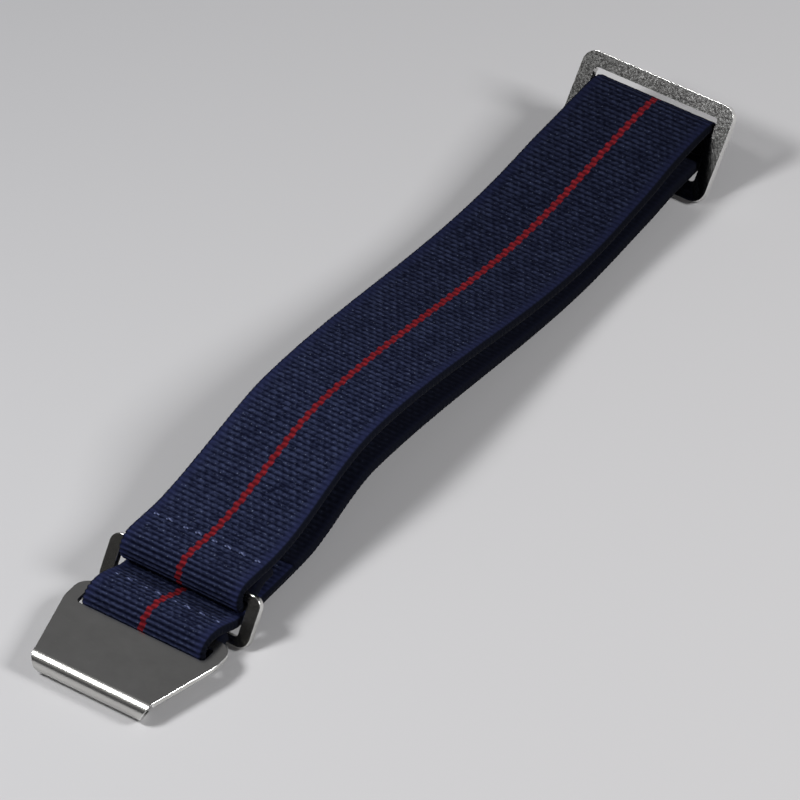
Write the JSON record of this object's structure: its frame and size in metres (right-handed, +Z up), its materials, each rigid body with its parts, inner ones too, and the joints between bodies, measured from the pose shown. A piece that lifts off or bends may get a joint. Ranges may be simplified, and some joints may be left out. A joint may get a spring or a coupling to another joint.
{
  "type": "stretch watch band",
  "caption": "Doubled woven elastic watch band with a rolled hook plate, a strap adjuster loop and a steel frame that the hook catches.",
  "frame": {"origin": "centre of the whole band's outline, on the surface that it lies on", "axes": "+Y along the band from the hook plate to the frame, +X across it, +Z up, out of its worn-out side"},
  "size_m": [0.0254, 0.141, 0.0132],
  "materials": {
    "elastic": "ribbed woven elastic, matt navy with one red line along the middle",
    "thread": "pale blue sewing thread",
    "hook_steel": "dark satin stainless sheet",
    "tumbled_steel": "tumbled stainless sheet, finely pitted, edges polished bright"
  },
  "bodies": {
    "band_1": {"sewn_end_elastic": "elastic", "sewn_end_seam_thread": "thread", "lower_run_1": "elastic"},
    "band_2": {"upper_run_2": "elastic", "lower_run_2": "elastic"},
    "band_3": {"upper_run_3": "elastic", "lower_run_3": "elastic"},
    "band_4": {"upper_run_4": "elastic", "lower_run_4": "elastic"},
    "band_5": {"upper_run_5": "elastic", "lower_run_5": "elastic"},
    "band_6": {"upper_run_6": "elastic", "lower_run_6": "elastic"},
    "band_7": {"upper_run_7": "elastic", "lower_run_7": "elastic"},
    "band_8": {"upper_run_8": "elastic", "lower_run_8": "elastic"},
    "band_9": {"upper_run_9": "elastic", "lower_run_9": "elastic"},
    "band_10": {"upper_run_10": "elastic", "lower_run_10": "elastic"},
    "band_11": {"upper_run_11": "elastic", "lower_run_11": "elastic"},
    "band_12": {"upper_run_12": "elastic", "lower_run_12": "elastic"},
    "band_13": {"upper_run_13": "elastic", "lower_run_13": "elastic"},
    "band_14": {"upper_run_14": "elastic", "lower_run_14": "elastic"},
    "band_15": {"upper_run_15": "elastic", "lower_run_15": "elastic"},
    "band_16": {"upper_run_16": "elastic", "lower_run_16": "elastic"},
    "band_17": {"upper_run_17": "elastic", "lower_run_17": "elastic"},
    "band_18": {"upper_run_18": "elastic", "lower_run_18": "elastic"},
    "band_19": {"upper_run_19": "elastic", "lower_run_19": "elastic"},
    "band_20": {"upper_run_20": "elastic", "lower_run_20": "elastic"},
    "band_21": {"upper_run_21": "elastic", "lower_run_21": "elastic"},
    "band_22": {"frame_fold_elastic": "elastic"},
    "frame": {"frame_plate": "tumbled_steel"},
    "adjuster": {"adjuster_loop": "tumbled_steel"},
    "tab": {"tab_elastic": "elastic", "tab_seam_thread": "thread"},
    "hook": {"hook_plate": "hook_steel"}
  },
  "joints": [
    {"name": "bend_1", "type": "hinge", "parent": "band_1", "child": "band_2", "pos_m": [0, -0.03467, 0.00266], "axis": [1, 0, 0], "range_deg": [-25, 8], "stiffness_Nm_per_rad": 0.05},
    {"name": "stretch_1", "type": "slide", "parent": "band_2", "child": "band_3", "axis": [0, 1, 0], "range_m": [0, 0.0025], "stiffness_N_per_m": 2000},
    {"name": "bend_2", "type": "hinge", "parent": "band_3", "child": "band_4", "pos_m": [0, -0.02519, 0.00431], "axis": [1, 0, 0], "range_deg": [-25, 8], "stiffness_Nm_per_rad": 0.05},
    {"name": "stretch_2", "type": "slide", "parent": "band_4", "child": "band_5", "axis": [0, 1, 0], "range_m": [0, 0.0025], "stiffness_N_per_m": 2000},
    {"name": "bend_3", "type": "hinge", "parent": "band_5", "child": "band_6", "pos_m": [0, -0.01571, 0.00637], "axis": [1, 0, 0], "range_deg": [-25, 8], "stiffness_Nm_per_rad": 0.05},
    {"name": "stretch_3", "type": "slide", "parent": "band_6", "child": "band_7", "axis": [0, 1, 0], "range_m": [0, 0.0025], "stiffness_N_per_m": 2000},
    {"name": "bend_4", "type": "hinge", "parent": "band_7", "child": "band_8", "pos_m": [0, -0.00623, 0.00607], "axis": [1, 0, 0], "range_deg": [-25, 8], "stiffness_Nm_per_rad": 0.05},
    {"name": "stretch_4", "type": "slide", "parent": "band_8", "child": "band_9", "axis": [0, 1, 0], "range_m": [0, 0.0025], "stiffness_N_per_m": 2000},
    {"name": "bend_5", "type": "hinge", "parent": "band_9", "child": "band_10", "pos_m": [0, 0.00325, 0.00534], "axis": [1, 0, 0], "range_deg": [-25, 8], "stiffness_Nm_per_rad": 0.05},
    {"name": "stretch_5", "type": "slide", "parent": "band_10", "child": "band_11", "axis": [0, 1, 0], "range_m": [0, 0.0025], "stiffness_N_per_m": 2000},
    {"name": "bend_6", "type": "hinge", "parent": "band_11", "child": "band_12", "pos_m": [0, 0.01273, 0.00443], "axis": [1, 0, 0], "range_deg": [-25, 8], "stiffness_Nm_per_rad": 0.05},
    {"name": "stretch_6", "type": "slide", "parent": "band_12", "child": "band_13", "axis": [0, 1, 0], "range_m": [0, 0.0025], "stiffness_N_per_m": 2000},
    {"name": "bend_7", "type": "hinge", "parent": "band_13", "child": "band_14", "pos_m": [0, 0.02221, 0.00358], "axis": [1, 0, 0], "range_deg": [-25, 8], "stiffness_Nm_per_rad": 0.05},
    {"name": "stretch_7", "type": "slide", "parent": "band_14", "child": "band_15", "axis": [0, 1, 0], "range_m": [0, 0.0025], "stiffness_N_per_m": 2000},
    {"name": "bend_8", "type": "hinge", "parent": "band_15", "child": "band_16", "pos_m": [0, 0.03169, 0.00305], "axis": [1, 0, 0], "range_deg": [-25, 8], "stiffness_Nm_per_rad": 0.05},
    {"name": "stretch_8", "type": "slide", "parent": "band_16", "child": "band_17", "axis": [0, 1, 0], "range_m": [0, 0.0025], "stiffness_N_per_m": 2000},
    {"name": "bend_9", "type": "hinge", "parent": "band_17", "child": "band_18", "pos_m": [0, 0.04117, 0.00307], "axis": [1, 0, 0], "range_deg": [-25, 8], "stiffness_Nm_per_rad": 0.05},
    {"name": "stretch_9", "type": "slide", "parent": "band_18", "child": "band_19", "axis": [0, 1, 0], "range_m": [0, 0.0025], "stiffness_N_per_m": 2000},
    {"name": "bend_10", "type": "hinge", "parent": "band_19", "child": "band_20", "pos_m": [0, 0.05065, 0.00356], "axis": [1, 0, 0], "range_deg": [-25, 8], "stiffness_Nm_per_rad": 0.05},
    {"name": "stretch_10", "type": "slide", "parent": "band_20", "child": "band_21", "axis": [0, 1, 0], "range_m": [0, 0.0025], "stiffness_N_per_m": 2000},
    {"name": "bend_11", "type": "hinge", "parent": "band_21", "child": "band_22", "pos_m": [0, 0.06013, 0.00391], "axis": [1, 0, 0], "range_deg": [-25, 8], "stiffness_Nm_per_rad": 0.05},
    {"name": "tab_adjust", "type": "slide", "parent": "band_1", "child": "tab", "axis": [0, -1, 0], "range_m": [0, 0.007]},
    {"name": "adjuster_tilt", "type": "hinge", "parent": "band_1", "child": "adjuster", "pos_m": [0, -0.04707, 0.00617], "axis": [1, 0, 0], "range_deg": [0, 30]},
    {"name": "frame_swivel", "type": "hinge", "parent": "band_22", "child": "frame", "pos_m": [0, 0.06573, 0.00644], "axis": [1, 0, 0], "range_deg": [0, 70]},
    {"name": "hook_swivel", "type": "hinge", "parent": "tab", "child": "hook", "pos_m": [0, -0.05487, 0.003], "axis": [1, 0, 0], "range_deg": [-20, 20]}
  ],
  "couplings": [
    {"joint": "stretch_2", "follows": "stretch_1", "ratio": 1},
    {"joint": "stretch_3", "follows": "stretch_1", "ratio": 1},
    {"joint": "stretch_4", "follows": "stretch_1", "ratio": 1},
    {"joint": "stretch_5", "follows": "stretch_1", "ratio": 1},
    {"joint": "stretch_6", "follows": "stretch_1", "ratio": 1},
    {"joint": "stretch_7", "follows": "stretch_1", "ratio": 1},
    {"joint": "stretch_8", "follows": "stretch_1", "ratio": 1},
    {"joint": "stretch_9", "follows": "stretch_1", "ratio": 1},
    {"joint": "stretch_10", "follows": "stretch_1", "ratio": 1}
  ]
}
